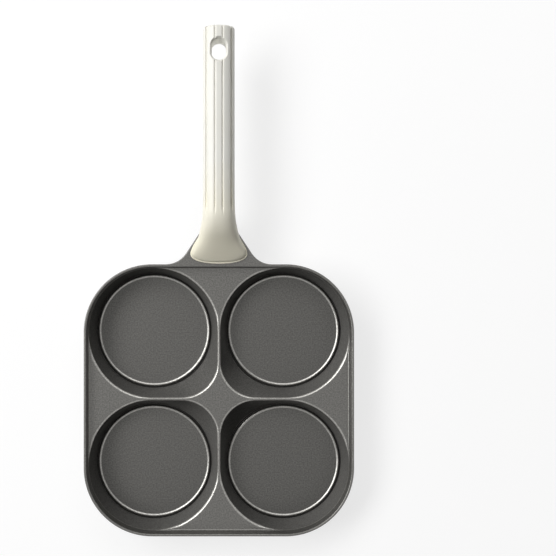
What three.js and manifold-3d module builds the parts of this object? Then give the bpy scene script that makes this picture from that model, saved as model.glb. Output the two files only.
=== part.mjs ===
// Four-cup egg pan: one die-cast body, four steel base plates and a moulded handle held on by two screws.
// Millimetres, +Z up, +Y along the handle. Pieces are placed from the pan's own centre, with the base plane
// at z = 0, and the whole group is then moved so that its overall box is centred on the Z axis.
import * as THREE from "three";
import { mergeVertices } from "three/addons/utils/BufferGeometryUtils.js";
import Module from "manifold-3d";

// Pan body: overall plan, rim and recessed deck
const PAN_WIDTH = 190;
const PAN_LENGTH = 191.2;
const CORNER_RADIUS = 48;
const RIM_HEIGHT = 29;
const RIM_LAND = 1.8;
const RIM_DRAFT = 0.6;
const RECESS_DEPTH = 7;
const DECK_THICKNESS = 3;
const EDGE_BREAK = 0.6;

// Cups
const CUP_DEPTH = 25;
const FLOOR_RADIUS = 37.9;
const BEAD_WIDTH = 1.5;
const BEAD_HEIGHT = 0.54;
const FOOT_GROOVE_WIDTH = 1.4;
const FOOT_GROOVE_DEPTH = 1.85;
const RIDGE_WIDTH = 1.6;
const RIM_LEDGE = 0.3;
const INNER_CORNER_RADIUS = 25;
const CUP_WALL = 2.7;
const BASE_RADIUS = 39;
const BASE_ROUND = 5;

// Neck cast on the rim under the handle
const NECK_LENGTH = 31.5;
const NECK_ROOT_HALF_WIDTH = 28.2;
const NECK_TIP_HALF_WIDTH = 7.4;
const NECK_FILLET = 9.7;
const NECK_TIP_ROUND = 4;

// Base plates
const PLATE_RADIUS = 36;
const PLATE_THICKNESS = 1;
const PLATE_CLEARANCE = 0.2;
const PLATE_CHAMFER = 0.3;

// Handle
const HANDLE_LENGTH = 162.5;
const HANDLE_OVERHANG = 0.4;
const HANDLE_RISE = 22;
const BAR_WIDTH = 21.8;
const BAR_HEIGHT = 20;
const BELL_WIDTH = 40;
const BELL_NOSE = 7.1;
const BELL_FADE = 13.5;
const BELL_LENGTH = 42;
const SLOPE_LENGTH = 33;
const SLOPE_EASE = 9;
const LIP_HEIGHT = 2.2;
const LIP_ROUND = 1.2;
const LEDGE_WIDTH = 0.9;
const LEDGE_HEIGHT = 1.5;
const LEDGE_LENGTH = 26;
const LEDGE_EDGE = 0.3;
const SIDE_GROOVE_DEPTH = 0.9;
const TOP_GROOVE_DEPTH = 0.5;
const GROOVE_FADE = 10.5;
const END_ROUND = 3;

// Hanging hole
const HOLE_WIDTH = 10;
const HOLE_LENGTH = 14.5;
const HOLE_FROM_END = 16.5;
const HOLE_CHAMFER = 1.3;

// Two combination screws, each with a spring washer, a flat washer and a moulded-in insert
const SCREW_RADIUS = 2.5;
const HEAD_RADIUS = 4.5;
const HEAD_HEIGHT = 3;
const SCREW_REACH = 5.6;
const DRIVE_WIDTH = 1.1;
const DRIVE_SPAN = 5;
const DRIVE_DEPTH = 1.6;
const WASHER_RADIUS = 5;
const FLAT_WASHER_THICKNESS = 1;
const SPRING_WASHER_RADIUS = 4.4;
const SPRING_WASHER_THICKNESS = 1.2;
const SPRING_WASHER_SLIT = 0.8;
const INSERT_RADIUS = 3.7;
const INSERT_LENGTH = 6;
const INSERT_GROOVE = 0.5;
const FRONT_SCREW_OFFSET = 13;
const SCREW_PITCH = 10.6;
const SCREW_CLEARANCE = 0.25;
const THREAD_CLEARANCE = 0.1;
const INSERT_CLEARANCE = 0.15;
const HEAD_RECESS = 0.3;

// Facets in a full turn
const CUP_SEGMENTS = 48;
const PLATE_SEGMENTS = 40;
const SMALL_SEGMENTS = 20;

// Sizes that follow from the ones above
const HALF_WIDTH = PAN_WIDTH / 2;
const HALF_LENGTH = PAN_LENGTH / 2;
const CUP_X = HALF_WIDTH - CORNER_RADIUS;
const CUP_Y = HALF_LENGTH - CORNER_RADIUS;
const DECK_Z = RIM_HEIGHT - RECESS_DEPTH;
const BAND_Z = DECK_Z - DECK_THICKNESS;
const FLOOR_Z = RIM_HEIGHT - CUP_DEPTH;
const RIM_BASE = RIM_LAND + RIM_DRAFT;
const NOSE_Y = HALF_LENGTH + HANDLE_OVERHANG;
const END_Y = NOSE_Y + HANDLE_LENGTH;
const BAR_TOP_Z = RIM_HEIGHT + HANDLE_RISE;
const BAR_MID_Z = BAR_TOP_Z - BAR_HEIGHT / 2;
const HEAD_STACK = HEAD_HEIGHT + SPRING_WASHER_THICKNESS + FLAT_WASHER_THICKNESS;
const SEAT_Z = BAND_Z + HEAD_RECESS + HEAD_STACK;
const SCREWS = {
  front: HALF_LENGTH + FRONT_SCREW_OFFSET,
  rear: HALF_LENGTH + FRONT_SCREW_OFFSET + SCREW_PITCH,
};
const CUPS = {
  front_left: [-1, -1],
  front_right: [1, -1],
  handle_left: [-1, 1],
  handle_right: [1, 1],
};

const wasm = await Module();
wasm.setup();

function solid(geometry) {
  const bare = new THREE.BufferGeometry();
  bare.setAttribute("position", geometry.getAttribute("position"));
  bare.setIndex(geometry.getIndex());
  const merged = mergeVertices(bare, 1e-4);
  const corners = merged.getIndex().array;
  const triangles = [];
  for (let i = 0; i < corners.length; i += 3) {
    const triangle = [corners[i], corners[i + 1], corners[i + 2]];
    if (new Set(triangle).size === 3) {
      triangles.push(...triangle);
    }
  }
  const mesh = new wasm.Mesh({
    numProp: 3,
    vertProperties: new Float32Array(merged.getAttribute("position").array),
    triVerts: new Uint32Array(triangles),
  });
  return new wasm.Manifold(mesh);
}

function geometryOf(manifold) {
  const mesh = manifold.getMesh();
  const geometry = new THREE.BufferGeometry();
  geometry.setAttribute("position", new THREE.BufferAttribute(mesh.vertProperties, 3));
  geometry.setIndex(new THREE.BufferAttribute(mesh.triVerts, 1));
  return geometry;
}

function middleOf(ring) {
  const middle = new THREE.Vector3();
  ring.forEach((point) => middle.add(point));
  return middle.divideScalar(ring.length);
}

// Closed skin through rings of equal length, each wound anticlockwise when seen from the far end of the path
function loft(rings) {
  const count = rings[0].length;
  const last = rings.length - 1;
  const points = [...rings.flat(), middleOf(rings[0]), middleOf(rings[last])];
  const foot = count * rings.length;
  const index = [];
  for (let i = 0; i < count; i++) {
    const next = (i + 1) % count;
    for (let j = 0; j < last; j++) {
      const a = j * count + i;
      const b = j * count + next;
      index.push(a, b, b + count, a, b + count, a + count);
    }
    index.push(foot, next, i, foot + 1, last * count + i, last * count + next);
  }
  const geometry = new THREE.BufferGeometry().setFromPoints(points);
  geometry.setIndex(index);
  return geometry;
}

function turned(profile, segments) {
  const points = profile.map(([radius, height]) => new THREE.Vector2(radius, height));
  return new THREE.LatheGeometry(points, segments).rotateX(Math.PI / 2);
}

function pillar(radius, bottom, top, segments) {
  const column = new THREE.CylinderGeometry(radius, radius, top - bottom, segments);
  return column.rotateX(Math.PI / 2).translate(0, 0, (bottom + top) / 2);
}

function plate(shape, bottom, top, edge) {
  const options = {
    depth: top - bottom - 2 * edge,
    curveSegments: 6,
    bevelThickness: edge,
    bevelSize: edge,
    bevelOffset: -edge,
    bevelSegments: 1,
  };
  return new THREE.ExtrudeGeometry(shape, options).translate(0, 0, bottom + edge);
}

// Plan of the pan set in from its outline
function panOutline(inset) {
  const x = HALF_WIDTH - inset;
  const y = HALF_LENGTH - inset;
  const radius = CORNER_RADIUS - inset;
  const shape = new THREE.Shape();
  shape.absarc(x - radius, y - radius, radius, 0, Math.PI / 2);
  shape.absarc(radius - x, y - radius, radius, Math.PI / 2, Math.PI);
  shape.absarc(radius - x, radius - y, radius, Math.PI, 1.5 * Math.PI);
  shape.absarc(x - radius, radius - y, radius, 1.5 * Math.PI, 2 * Math.PI);
  shape.closePath();
  return shape;
}

function outlineRing(inset, z) {
  const points = panOutline(inset).extractPoints(6).shape;
  points.pop();
  return points.map((point) => new THREE.Vector3(point.x, point.y, z));
}

function recess() {
  const slope = RIM_DRAFT / RECESS_DEPTH;
  const bottom = outlineRing(RIM_BASE, DECK_Z);
  const top = outlineRing(RIM_LAND - slope, RIM_HEIGHT + 1);
  return loft([bottom, top]);
}

// Distance from a cup's centre to its opening at deck level: round, but squared out towards the pan's centre
function openingRadius(cup, angle, inward, outward) {
  const c = Math.cos(angle);
  const s = Math.sin(angle);
  const outer = CORNER_RADIUS - RIM_BASE - RIM_LEDGE + outward;
  const towardsX = c * cup[0] < 0;
  const towardsY = s * cup[1] < 0;
  const x = towardsX ? CUP_X - RIDGE_WIDTH / 2 + inward : outer;
  const y = towardsY ? CUP_Y - RIDGE_WIDTH / 2 + inward : outer;
  if (!(towardsX && towardsY)) {
    return 1 / Math.hypot(c / x, s / y);
  }
  const radius = INNER_CORNER_RADIUS + inward;
  const ray = new THREE.Vector2(Math.abs(c), Math.abs(s));
  if ((x * ray.y) / ray.x <= y - radius) {
    return x / ray.x;
  }
  if ((y * ray.x) / ray.y <= x - radius) {
    return y / ray.y;
  }
  const centre = new THREE.Vector2(x - radius, y - radius);
  const along = ray.dot(centre);
  return along + Math.sqrt(along * along - centre.lengthSq() + radius * radius);
}

function cupRing(cup, z, radiusAt) {
  const ring = [];
  for (let i = 0; i < CUP_SEGMENTS; i++) {
    const angle = (2 * Math.PI * i) / CUP_SEGMENTS;
    const radius = radiusAt(angle);
    const x = cup[0] * CUP_X + radius * Math.cos(angle);
    const y = cup[1] * CUP_Y + radius * Math.sin(angle);
    ring.push(new THREE.Vector3(x, y, z));
  }
  return ring;
}

// Floor of a cup, the bead round it and the groove between the bead and the wall
function floorRings(cup) {
  const crest = FLOOR_RADIUS + BEAD_WIDTH;
  const groove = crest + FOOT_GROOVE_WIDTH;
  const top = FLOOR_Z + BEAD_HEIGHT;
  const profile = [
    [FLOOR_RADIUS, FLOOR_Z],
    [crest - 0.4 * BEAD_WIDTH, top - 0.56 * BEAD_HEIGHT],
    [crest - 0.08 * BEAD_WIDTH, top],
    [crest + 0.18 * FOOT_GROOVE_WIDTH, top - 0.08 * FOOT_GROOVE_DEPTH],
    [groove - 0.14 * FOOT_GROOVE_WIDTH, top - FOOT_GROOVE_DEPTH],
    [groove + 0.14 * FOOT_GROOVE_WIDTH, top - FOOT_GROOVE_DEPTH],
  ];
  return profile.map(([radius, z]) => cupRing(cup, z, () => radius));
}

function cupCavity(cup) {
  const rings = floorRings(cup);
  const mouth = (angle) => openingRadius(cup, angle, RIDGE_WIDTH / 4, RIM_LEDGE / 2);
  rings.push(cupRing(cup, DECK_Z - EDGE_BREAK, (angle) => openingRadius(cup, angle, 0, 0)));
  rings.push(cupRing(cup, DECK_Z, mouth));
  rings.push(cupRing(cup, DECK_Z + RECESS_DEPTH / 2, mouth));
  return loft(rings);
}

// Outside of a cup: a flat base, a round and a wall
function bowl(cup) {
  const rings = [];
  for (let k = 0; k <= 3; k++) {
    const turn = THREE.MathUtils.degToRad(24 * k);
    const radius = BASE_RADIUS + BASE_ROUND * Math.sin(turn);
    rings.push(cupRing(cup, BASE_ROUND * (1 - Math.cos(turn)), () => radius));
  }
  const foot = rings.at(-1)[0];
  const footRadius = foot.x - cup[0] * CUP_X;
  const top = BAND_Z + DECK_THICKNESS / 2;
  const share = (top - foot.z) / (DECK_Z - foot.z);
  const widest = (angle) => openingRadius(cup, angle, CUP_WALL, CUP_WALL);
  rings.push(cupRing(cup, top, (angle) => THREE.MathUtils.lerp(footRadius, widest(angle), share)));
  return loft(rings);
}

function neckOutline() {
  const taper = new THREE.Vector2(NECK_TIP_HALF_WIDTH - NECK_ROOT_HALF_WIDTH, NECK_LENGTH).normalize();
  const start = HALF_LENGTH - 2 * RIM_LAND;
  const tip = HALF_LENGTH + NECK_LENGTH;
  const wide = NECK_ROOT_HALF_WIDTH + NECK_FILLET;
  const side = new THREE.Vector2(NECK_ROOT_HALF_WIDTH, HALF_LENGTH).addScaledVector(taper, NECK_FILLET);
  const turn = new THREE.Vector2(NECK_TIP_HALF_WIDTH, tip).addScaledVector(taper, -NECK_TIP_ROUND);
  const nose = NECK_TIP_HALF_WIDTH - NECK_TIP_ROUND;
  const shape = new THREE.Shape();
  shape.moveTo(-wide, start);
  shape.lineTo(wide, start);
  shape.lineTo(wide, HALF_LENGTH);
  shape.quadraticCurveTo(NECK_ROOT_HALF_WIDTH, HALF_LENGTH, side.x, side.y);
  shape.lineTo(turn.x, turn.y);
  shape.quadraticCurveTo(NECK_TIP_HALF_WIDTH, tip, nose, tip);
  shape.lineTo(-nose, tip);
  shape.quadraticCurveTo(-NECK_TIP_HALF_WIDTH, tip, -turn.x, turn.y);
  shape.lineTo(-side.x, side.y);
  shape.quadraticCurveTo(-NECK_ROOT_HALF_WIDTH, HALF_LENGTH, -wide, HALF_LENGTH);
  shape.closePath();
  return shape;
}

function screwBore(y) {
  const wide = pillar(WASHER_RADIUS + SCREW_CLEARANCE, BAND_Z - 1, SEAT_Z, SMALL_SEGMENTS);
  const narrow = pillar(SCREW_RADIUS + SCREW_CLEARANCE, SEAT_Z - 1, RIM_HEIGHT + 1, SMALL_SEGMENTS);
  return solid(wide.translate(0, y, 0)).add(solid(narrow.translate(0, y, 0)));
}

function panCasting() {
  const cups = Object.values(CUPS);
  let body = solid(plate(panOutline(0), BAND_Z, RIM_HEIGHT, EDGE_BREAK));
  cups.forEach((cup) => {
    body = body.add(solid(bowl(cup)));
  });
  body = body.add(solid(plate(neckOutline(), BAND_Z, RIM_HEIGHT, EDGE_BREAK)));
  body = body.subtract(solid(recess()));
  cups.forEach((cup) => {
    const pocket = pillar(PLATE_RADIUS + PLATE_CLEARANCE, -1, PLATE_THICKNESS, PLATE_SEGMENTS);
    pocket.translate(cup[0] * CUP_X, cup[1] * CUP_Y, 0);
    body = body.subtract(solid(cupCavity(cup))).subtract(solid(pocket));
  });
  Object.values(SCREWS).forEach((y) => {
    body = body.subtract(screwBore(y));
  });
  return geometryOf(body);
}

function basePlate() {
  const profile = [
    [0, 0],
    [PLATE_RADIUS - PLATE_CHAMFER, 0],
    [PLATE_RADIUS, PLATE_CHAMFER],
    [PLATE_RADIUS, PLATE_THICKNESS],
    [0, PLATE_THICKNESS],
  ];
  return turned(profile, PLATE_SEGMENTS);
}

// Height of the handle's crest: a rounded step behind the ledge, a ramp, then an easing on to the level bar
function crestHeight(y) {
  const run = Math.max(0, y - NOSE_Y - LEDGE_WIDTH);
  const straight = SLOPE_LENGTH - SLOPE_EASE - LEDGE_WIDTH;
  const lip = Math.min(1, run / LIP_ROUND);
  const past = THREE.MathUtils.clamp(run - straight, 0, SLOPE_EASE);
  const ramp = Math.min(run, straight) + past - (past * past) / (2 * SLOPE_EASE);
  const slope = (HANDLE_RISE - LIP_HEIGHT) / (straight + SLOPE_EASE / 2);
  return RIM_HEIGHT + LIP_HEIGHT * Math.sqrt(1 - (1 - lip) ** 2) + slope * ramp;
}

// Half width of the handle's foot in plan: a rounded nose, then a flare that dies away along the bar.
// Set in at the nose it is the width of the bell that stands on the foot.
function footHalfWidth(y, inset) {
  const before = NOSE_Y + BELL_NOSE - y;
  if (before > 0) {
    const share = Math.min(1, before / (BELL_NOSE - inset));
    return (BELL_WIDTH / 2 - inset) * (1 - share ** 2.3) ** (1 / 2.3);
  }
  const flare = Math.exp(-((-before / BELL_FADE) ** 1.6));
  return BAR_WIDTH / 2 + ((BELL_WIDTH - BAR_WIDTH) / 2) * flare - inset;
}

// Width of the ledge left round the bell, which dies away behind the flare
function ledgeWidth(y) {
  const gone = THREE.MathUtils.smoothstep(y - NOSE_Y, 0.55 * LEDGE_LENGTH, LEDGE_LENGTH);
  return LEDGE_WIDTH * (1 - gone);
}

// Thin plate under the bell, whose edge is the ledge; it ends inside the bell
function ledgePlate() {
  const side = [];
  for (let k = 0; k <= 26; k++) {
    const nose = BELL_NOSE * (1 - Math.cos((Math.PI * Math.min(k, 14)) / 28));
    const run = THREE.MathUtils.lerp(nose, 0.92 * LEDGE_LENGTH, Math.max(0, k - 14) / 12);
    const sunk = THREE.MathUtils.smoothstep(run, 0.45 * LEDGE_LENGTH, 0.9 * LEDGE_LENGTH);
    const y = NOSE_Y + run;
    side.push(new THREE.Vector2(footHalfWidth(y, 1.05 * LEDGE_WIDTH * sunk), y));
  }
  const mirrored = side.slice(1).map((point) => new THREE.Vector2(-point.x, point.y));
  const shape = new THREE.Shape([...side, ...mirrored.reverse()]);
  return plate(shape, RIM_HEIGHT, RIM_HEIGHT + LEDGE_HEIGHT, LEDGE_EDGE);
}

// Section of the handle across Y: a squared ellipse over a flat foot, with four grooves above and four below
function handleRing(y, inset) {
  const quarter = [0, 20, 37.5, 43, 48.5, 61, 74, 79.4, 84.8];
  const grooves = { 43: SIDE_GROOVE_DEPTH, 79.4: TOP_GROOVE_DEPTH };
  const level = THREE.MathUtils.smoothstep(y, NOSE_Y + 0.2 * BELL_LENGTH, NOSE_Y + BELL_LENGTH);
  const lift = THREE.MathUtils.smoothstep(y, NOSE_Y + 0.6 * BELL_LENGTH, NOSE_Y + BELL_LENGTH);
  const fade = THREE.MathUtils.smoothstep(y, NOSE_Y + BELL_LENGTH - GROOVE_FADE, NOSE_Y + BELL_LENGTH);
  const crest = crestHeight(y) - inset;
  const bottom = THREE.MathUtils.lerp(RIM_HEIGHT, BAR_TOP_Z - BAR_HEIGHT, lift) + inset;
  const middle = Math.min(THREE.MathUtils.lerp(RIM_HEIGHT + 1, BAR_MID_Z, level), (crest + RIM_HEIGHT) / 2);
  const width = footHalfWidth(y, ledgeWidth(y)) - inset;
  const ring = [];
  for (let turn = 0; turn < 4; turn++) {
    const mirrored = turn % 2 === 1;
    const angles = mirrored ? [90, ...quarter.slice(1).reverse()] : quarter;
    angles.forEach((degrees) => {
      const c = Math.cos(THREE.MathUtils.degToRad(degrees)) ** (2 / 2.4);
      const s = Math.sin(THREE.MathUtils.degToRad(degrees)) ** (2 / 2.4);
      const below = turn > 1;
      const height = below ? bottom - middle - 3 * (1 - level) : crest - middle;
      const x = (turn === 0 || turn === 3 ? -1 : 1) * width * c;
      const dent = ((grooves[degrees] ?? 0) * fade) / Math.hypot(x, height * s);
      const z = middle + height * s * (1 - dent);
      ring.push(new THREE.Vector3(x * (1 - dent), y, Math.max(bottom, z)));
    });
  }
  return ring;
}

// Fall of the bar's surface from its crest at a distance x from the middle
function barDrop(x) {
  const share = Math.min(1, Math.abs(x) / (BAR_WIDTH / 2));
  return (BAR_HEIGHT / 2) * (1 - (1 - share ** 2.4) ** (1 / 2.4));
}

// Ring of the hanging hole at a depth under the bar's surface, above or below
function ovalRing(grow, depth, above) {
  const radius = HOLE_WIDTH / 2 + grow;
  const straight = (HOLE_LENGTH - HOLE_WIDTH) / 2;
  const count = SMALL_SEGMENTS + 4;
  const ring = [];
  for (let i = 0; i < count; i++) {
    const angle = (2 * Math.PI * (i + 0.5)) / count;
    const x = radius * Math.cos(angle);
    const y = END_Y - HOLE_FROM_END + radius * Math.sin(angle) + straight * Math.sign(Math.sin(angle));
    const away = BAR_HEIGHT / 2 - barDrop(x) - depth;
    ring.push(new THREE.Vector3(x, y, BAR_MID_Z + (above ? away : -away)));
  }
  return ring;
}

function hangingHole() {
  const rings = [
    ovalRing(2 * HOLE_CHAMFER, -HOLE_CHAMFER, false),
    ovalRing(0, HOLE_CHAMFER, false),
    ovalRing(0, HOLE_CHAMFER, true),
    ovalRing(2 * HOLE_CHAMFER, -HOLE_CHAMFER, true),
  ];
  return loft(rings);
}

function handleGrip() {
  const rings = [];
  [0.02, 0.06, 0.15, 0.3, 0.55, 1].forEach((share) => {
    rings.push(handleRing(NOSE_Y + THREE.MathUtils.lerp(LEDGE_WIDTH, BELL_NOSE, share), 0));
  });
  for (let k = 1; k <= 13; k++) {
    rings.push(handleRing(NOSE_Y + THREE.MathUtils.lerp(BELL_NOSE, BELL_LENGTH, k / 13), 0));
  }
  for (let k = 0; k <= 4; k++) {
    const turn = THREE.MathUtils.degToRad(19 * k);
    const y = END_Y - END_ROUND * (1 - Math.sin(turn));
    rings.push(handleRing(k === 4 ? END_Y : y, END_ROUND * (1 - Math.cos(turn))));
  }
  let grip = solid(loft(rings)).add(solid(ledgePlate())).subtract(solid(hangingHole()));
  Object.values(SCREWS).forEach((y) => {
    const top = RIM_HEIGHT + INSERT_LENGTH + INSERT_CLEARANCE;
    const pocket = pillar(INSERT_RADIUS + INSERT_CLEARANCE, RIM_HEIGHT - 1, top, SMALL_SEGMENTS);
    grip = grip.subtract(solid(pocket.translate(0, y, 0)));
  });
  return geometryOf(grip);
}

function threadedInsert() {
  const bore = SCREW_RADIUS + THREAD_CLEARANCE;
  const waist = INSERT_RADIUS - INSERT_GROOVE;
  const profile = [
    [bore, 0],
    [INSERT_RADIUS, 0],
    [INSERT_RADIUS, 0.4 * INSERT_LENGTH],
    [waist, 0.45 * INSERT_LENGTH],
    [waist, 0.55 * INSERT_LENGTH],
    [INSERT_RADIUS, 0.6 * INSERT_LENGTH],
    [INSERT_RADIUS, INSERT_LENGTH],
    [bore, INSERT_LENGTH],
    [bore, 0],
  ];
  return turned(profile, SMALL_SEGMENTS);
}

function handleScrew() {
  const tip = HEAD_STACK + RIM_HEIGHT - SEAT_Z + SCREW_REACH;
  const chamfer = SCREW_RADIUS / 5;
  const profile = [
    [0, 0],
    [HEAD_RADIUS - HEAD_HEIGHT / 3, 0],
    [HEAD_RADIUS, HEAD_HEIGHT / 3],
    [HEAD_RADIUS, HEAD_HEIGHT],
    [SCREW_RADIUS, HEAD_HEIGHT],
    [SCREW_RADIUS, tip - chamfer],
    [SCREW_RADIUS - chamfer, tip],
    [0, tip],
  ];
  const across = new THREE.BoxGeometry(DRIVE_SPAN, DRIVE_WIDTH, 2 * DRIVE_DEPTH);
  const along = new THREE.BoxGeometry(DRIVE_WIDTH, DRIVE_SPAN, 2 * DRIVE_DEPTH);
  const drive = solid(across).add(solid(along));
  return geometryOf(solid(turned(profile, SMALL_SEGMENTS)).subtract(drive));
}

function flatWasher() {
  const bore = SCREW_RADIUS + SCREW_CLEARANCE;
  const profile = [
    [bore, 0],
    [WASHER_RADIUS, 0],
    [WASHER_RADIUS, FLAT_WASHER_THICKNESS],
    [bore, FLAT_WASHER_THICKNESS],
    [bore, 0],
  ];
  return turned(profile, SMALL_SEGMENTS);
}

function springWasher() {
  const bore = SCREW_RADIUS + SCREW_CLEARANCE;
  const inner = Math.asin(SPRING_WASHER_SLIT / 2 / bore);
  const outer = Math.asin(SPRING_WASHER_SLIT / 2 / SPRING_WASHER_RADIUS);
  const shape = new THREE.Shape();
  shape.absarc(0, 0, SPRING_WASHER_RADIUS, outer, 2 * Math.PI - outer);
  shape.absarc(0, 0, bore, 2 * Math.PI - inner, inner, true);
  shape.closePath();
  const options = { depth: SPRING_WASHER_THICKNESS, bevelEnabled: false, curveSegments: 10 };
  return new THREE.ExtrudeGeometry(shape, options);
}

const coat = { color: 0x4a4a48, roughness: 0.45, metalness: 0.3 };
const cream = { color: 0xe6e2d4, roughness: 0.45, metalness: 0 };
const steel = { color: 0xb4b6b8, roughness: 0.35, metalness: 1 };
const brass = { color: 0xb8943f, roughness: 0.35, metalness: 1 };

const group = new THREE.Group();
group.name = "egg_pan";
group.position.y = (HALF_LENGTH - END_Y) / 2;

function addPiece(name, geometry, look, x, y, z) {
  const piece = new THREE.Mesh(geometry, new THREE.MeshStandardMaterial(look));
  piece.name = name;
  piece.position.set(x, y, z);
  group.add(piece);
}

addPiece("pan_casting", panCasting(), coat, 0, 0, 0);
addPiece("handle_grip", handleGrip(), cream, 0, 0, 0);
Object.entries(CUPS).forEach(([place, cup]) => {
  addPiece(`base_plate_${place}`, basePlate(), steel, cup[0] * CUP_X, cup[1] * CUP_Y, 0);
});
Object.entries(SCREWS).forEach(([place, y]) => {
  const head = SEAT_Z - HEAD_STACK;
  const spring = head + HEAD_HEIGHT;
  const flat = spring + SPRING_WASHER_THICKNESS;
  addPiece(`handle_screw_${place}`, handleScrew(), steel, 0, y, head);
  addPiece(`spring_washer_${place}`, springWasher(), steel, 0, y, spring);
  addPiece(`flat_washer_${place}`, flatWasher(), steel, 0, y, flat);
  addPiece(`threaded_insert_${place}`, threadedInsert(), brass, 0, y, RIM_HEIGHT);
});

export default group;
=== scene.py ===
"""Looks of a four-cup egg pan: smooth casting, fluted handle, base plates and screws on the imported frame."""

import math

import bmesh
import bpy
import numpy as np
from bpy.props import FloatProperty, FloatVectorProperty, PointerProperty
from bpy.types import Operator, Panel, PropertyGroup
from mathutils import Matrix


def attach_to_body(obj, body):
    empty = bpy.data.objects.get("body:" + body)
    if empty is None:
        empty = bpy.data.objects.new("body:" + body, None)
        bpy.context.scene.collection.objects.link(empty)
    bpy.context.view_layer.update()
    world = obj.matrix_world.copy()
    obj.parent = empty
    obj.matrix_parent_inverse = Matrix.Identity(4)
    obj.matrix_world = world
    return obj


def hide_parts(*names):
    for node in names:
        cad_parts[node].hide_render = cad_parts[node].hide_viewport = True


bl_info = {
    "name": "Egg pan",
    "version": (1, 0, 0),
    "blender": (4, 5, 0),
    "location": "View3D > Sidebar > Egg pan",
    "description": "Builds the visible pieces of a four-cup egg pan on its CAD frame",
    "category": "Add Mesh",
}

MM = 0.001
TINY = 1e-9

# edges sharper than this stay sharp, on the metal pieces and on the fluted handle
SHARP = math.radians(38)
FLUTED_SHARP = math.radians(32)

# slopes of the bead round a cup's floor, on its inner and its outer side
BEAD_RISE = math.radians(30)
BEAD_FALL = math.radians(66)

# shares of the room beside a cup's opening that its rounded edge may take, at the rim and on a ridge
RIM_SHARE = 0.5
RIDGE_SHARE = 0.94

# share of the room that the rounds at the foot of the rim and under the deck may take
FOOT_SHARE = 0.45

# width that the round at the foot of the rim needs on the deck, as a share of its radius
FOOT_WIDTH = 0.92

# rows of a straight wall, as shares of its height
WALL_ROWS = np.linspace(0.0, 1.0, 6)[1:]

# powers of the curves of the bell's nose, of its flare and of the bar's section
NOSE_POWER = 2.3
FLARE_POWER = 1.6
BAR_POWER = 2.4

# where the ledge starts to die away, as a share of its run-out
LEDGE_START = 0.55

# where the middle and the underside of the handle's section start to rise, as shares of the bell's length
MIDDLE_START = 0.2
UNDER_START = 0.6

# flutes in a quarter of the handle's section: angle, depth in groove depths, spans below and above in degrees
FLUTES = ((43.0, 2.3, 11.0, 6.5), (79.4, 0.95, 4.2, 4.2))

# looks of the coat up a cup: height in millimetres, shade, roughness, metal and specular level; the shade
# column holds painted light against the deck's 0.55: painted shade in the grooves and on the floors, painted
# highlights on the beads and the lips
COAT_LOOKS = (
    # painted shade: the groove round each floor, darkened to 0.2
    (3.7, 0.2, 0.45, 0.8, 0.5),
    # painted shade: the floors, darker than the deck, as shade falls deep in the cups
    (3.9, 0.37, 0.45, 0.8, 0.5),
    (4.04, 0.37, 0.45, 0.8, 0.5),
    # painted highlight: the beads' crests, brighter than the coat where the highlight line falls
    (4.2, 1.1, 0.3, 0.8, 0.5),
    (4.5, 1.1, 0.3, 0.8, 0.5),
    (4.7, 0.45, 0.3, 0.0, 0.03),
    (20.8, 0.45, 0.3, 0.0, 0.03),
    # painted highlight: the lips at the top of the walls, brighter than the coat where the highlight line
    # falls
    (21.3, 1.2, 0.3, 0.8, 0.5),
    (21.84, 1.2, 0.3, 0.8, 0.5),
    (21.96, 0.55, 0.3, 0.8, 0.5),
)

# soft lights: name, power in watts, size, place and target in metres; the key light's power is a setting
KEY_LIGHT = ((2.3, 0.9), (-1.5, 0.56, 1.78), (0.0, -0.04, 0.02))
OTHER_LIGHTS = (
    ("north", 12.0, (1.8, 0.9), (0.1, 1.5, 1.6), (0.0, -0.04, 0.02)),
    ("right_card", 0.55, (0.25, 0.25), (0.7, 0.3, 0.07), (0.0, 0.1, 0.04)),
    ("left_card", 0.8, (0.25, 0.25), (-0.7, 0.3, 0.12), (0.0, 0.1, 0.04)),
)

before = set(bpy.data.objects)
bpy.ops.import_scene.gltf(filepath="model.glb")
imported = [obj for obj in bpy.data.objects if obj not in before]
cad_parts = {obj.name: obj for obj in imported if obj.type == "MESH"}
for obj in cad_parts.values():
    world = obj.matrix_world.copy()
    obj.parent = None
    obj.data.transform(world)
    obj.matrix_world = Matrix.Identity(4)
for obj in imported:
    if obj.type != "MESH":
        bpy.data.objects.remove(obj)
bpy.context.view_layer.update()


def length(name, description, millimetres):
    """A length property whose default is given in millimetres."""
    return FloatProperty(name=name, description=description, default=millimetres * MM, unit="LENGTH")


def colour(name, description, value):
    """A linear colour property."""
    return FloatVectorProperty(
        name=name, description=description, default=value, size=3, min=0.0, max=1.0, subtype="COLOR"
    )


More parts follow.
